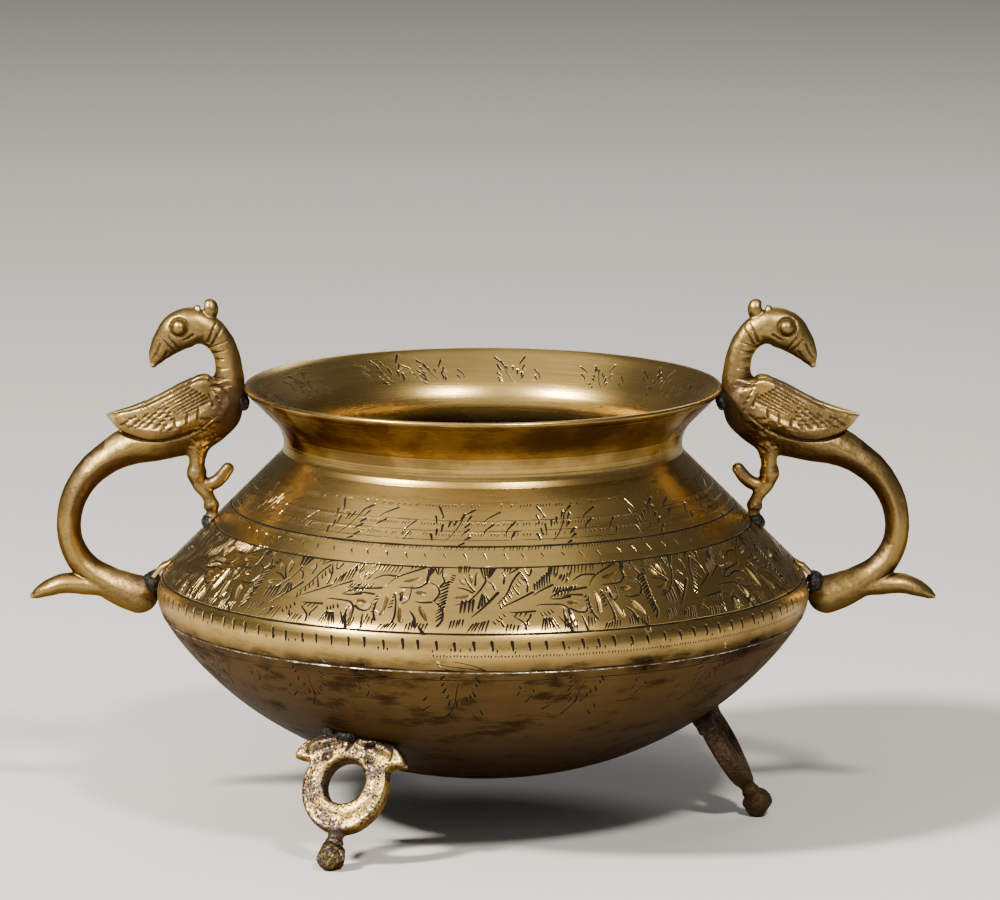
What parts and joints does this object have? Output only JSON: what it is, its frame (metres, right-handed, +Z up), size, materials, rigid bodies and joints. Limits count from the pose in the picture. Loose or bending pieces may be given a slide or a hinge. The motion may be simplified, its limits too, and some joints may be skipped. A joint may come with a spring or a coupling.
{
  "type": "brass urli bowl",
  "caption": "Low wide engraved brass bowl with a flared rim, bird handles whose tails arch down to the belly, and short ring legs on ball feet.",
  "frame": {"origin": "on the bowl's axis, on the surface that the feet stand on", "axes": "+Z up along the bowl's axis, X through the two handles, -Y is the bowl's front, where a leg stands to the left"},
  "size_m": [0.3276, 0.2348, 0.1884],
  "materials": {
    "engraved_brass": "spun sheet brass, aged, engraved by hand, lines filled with dark wax",
    "cast_brass": "sand-cast brass, filed and chased, aged",
    "leg_brass": "rough sand-cast brass with dark blue-black patina in its pits",
    "solder": "blackened soft solder, lumpy",
    "braze": "brazing spelter, dull"
  },
  "bodies": {
    "root": {"basin": "engraved_brass", "shoulder": "engraved_brass", "neck_and_rim": "engraved_brass", "belly_seam_braze": "braze", "neck_seam_braze": "braze", "peacock_handle_left": "cast_brass", "peacock_handle_right": "cast_brass", "tail_strap_left": "engraved_brass", "tail_strap_right": "engraved_brass", "claw_solder_left": "solder", "claw_solder_right": "solder", "tail_solder_left": "solder", "tail_solder_right": "solder", "rim_solder_left": "solder", "rim_solder_right": "solder", "leg_right": "leg_brass", "leg_back_left": "leg_brass", "leg_front_left": "leg_brass", "leg_right_solder": "solder", "leg_back_left_solder": "solder", "leg_front_left_solder": "solder"}
  },
  "joints": []
}
